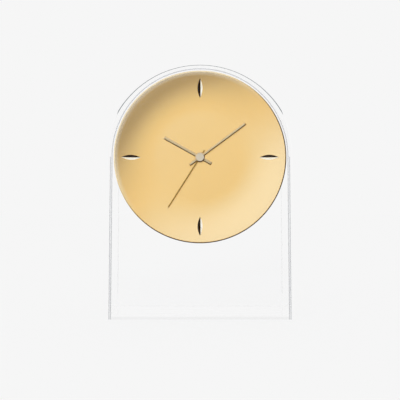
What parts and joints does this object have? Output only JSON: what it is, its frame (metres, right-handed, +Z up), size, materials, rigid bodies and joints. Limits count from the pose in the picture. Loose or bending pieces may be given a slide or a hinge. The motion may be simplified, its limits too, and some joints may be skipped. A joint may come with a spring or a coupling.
{
  "type": "clock",
  "caption": "Clear arch-shaped table clock whose concave satin-gold dial, with almond-shaped grooves and bar hands, seems to float over an empty case; a quartz movement hides behind it.",
  "frame": {"origin": "Centre of the foot: middle of the bottom face of the case, on the surface it stands on", "axes": "+Z up, the long way of the clock; +Y from the dial to the rear cover, the short way; +X to the right seen from the front"},
  "size_m": [0.2052, 0.08, 0.3],
  "materials": {
    "clear_case": "clear, colourless polished acrylic",
    "dial_gold": "fine satin gold",
    "drum_gold": "satin gold paint",
    "hand_champagne": "satin champagne",
    "second_gold": "satin brown gold",
    "steel": "plain bright",
    "brass": "turned",
    "copper": "enamelled copper wire",
    "black_plastic": "fine matt",
    "white_plastic": "moulded",
    "green_board": "solder-masked board",
    "cell_jacket": "plain printed jacket"
  },
  "bodies": {
    "clock": {"case_shell": "clear_case", "rear_cover": "clear_case", "dial": "dial_gold", "dial_housing": "drum_gold", "housing_screws": "steel", "dial_screws": "steel", "movement_screws": "steel", "movement_front_case": "black_plastic", "movement_back_case": "black_plastic", "centre_bush": "brass", "train_plate": "black_plastic", "stator": "steel", "coil_core": "steel", "coil_bobbin": "white_plastic", "coil_winding": "copper", "circuit_board": "green_board", "quartz_crystal": "steel", "contact_plus": "steel", "contact_minus": "steel"},
    "cell": {"battery": "cell_jacket"},
    "minute": {"minute_arbor": "brass", "minute_hand": "hand_champagne"},
    "motion": {"motion_wheel": "white_plastic"},
    "hour": {"hour_wheel": "white_plastic", "hour_hand": "hand_champagne"},
    "knob": {"setting_knob": "black_plastic"},
    "seconds": {"seconds_wheel": "white_plastic", "seconds_arbor": "steel", "second_hand": "second_gold", "hub_cap": "hand_champagne"},
    "intermediate": {"intermediate_wheel": "white_plastic"},
    "rotor": {"rotor_magnet": "steel", "rotor_pinion": "white_plastic"},
    "third": {"third_wheel": "white_plastic"},
    "centre": {"centre_wheel": "white_plastic"}
  },
  "joints": [
    {"name": "minute_turn", "type": "hinge", "parent": "clock", "child": "minute", "pos_m": [0, -0.01, 0.1823], "axis": [0, 1, 0], "continuous": true},
    {"name": "motion_turn", "type": "hinge", "parent": "clock", "child": "motion", "pos_m": [0.0084, -0.01, 0.1823], "axis": [0, 1, 0], "continuous": true},
    {"name": "hour_turn", "type": "hinge", "parent": "clock", "child": "hour", "pos_m": [0, -0.01, 0.1823], "axis": [0, 1, 0], "continuous": true},
    {"name": "knob_turn", "type": "hinge", "parent": "clock", "child": "knob", "pos_m": [0.01629, -0.01, 0.17943], "axis": [0, 1, 0], "continuous": true},
    {"name": "seconds_turn", "type": "hinge", "parent": "clock", "child": "seconds", "pos_m": [0, -0.01, 0.1823], "axis": [0, 1, 0], "continuous": true},
    {"name": "intermediate_turn", "type": "hinge", "parent": "clock", "child": "intermediate", "pos_m": [0.00909, -0.01, 0.18755], "axis": [0, 1, 0], "continuous": true},
    {"name": "rotor_turn", "type": "hinge", "parent": "clock", "child": "rotor", "pos_m": [0.01284, -0.01, 0.19405], "axis": [0, 1, 0], "continuous": true},
    {"name": "third_turn", "type": "hinge", "parent": "clock", "child": "third", "pos_m": [-0.00935, -0.01, 0.1877], "axis": [0, 1, 0], "continuous": true},
    {"name": "centre_turn", "type": "hinge", "parent": "clock", "child": "centre", "pos_m": [0, -0.01, 0.1823], "axis": [0, 1, 0], "continuous": true},
    {"name": "cell_slide", "type": "slide", "parent": "clock", "child": "cell", "axis": [0, 1, 0], "range_m": [0, 0.058]}
  ],
  "couplings": [
    {"joint": "motion_turn", "follows": "minute_turn", "ratio": -0.33333},
    {"joint": "hour_turn", "follows": "minute_turn", "ratio": 0.083333},
    {"joint": "knob_turn", "follows": "minute_turn", "ratio": 1},
    {"joint": "intermediate_turn", "follows": "seconds_turn", "ratio": -6},
    {"joint": "rotor_turn", "follows": "seconds_turn", "ratio": 30},
    {"joint": "third_turn", "follows": "seconds_turn", "ratio": -0.125},
    {"joint": "centre_turn", "follows": "seconds_turn", "ratio": 0.016667}
  ]
}
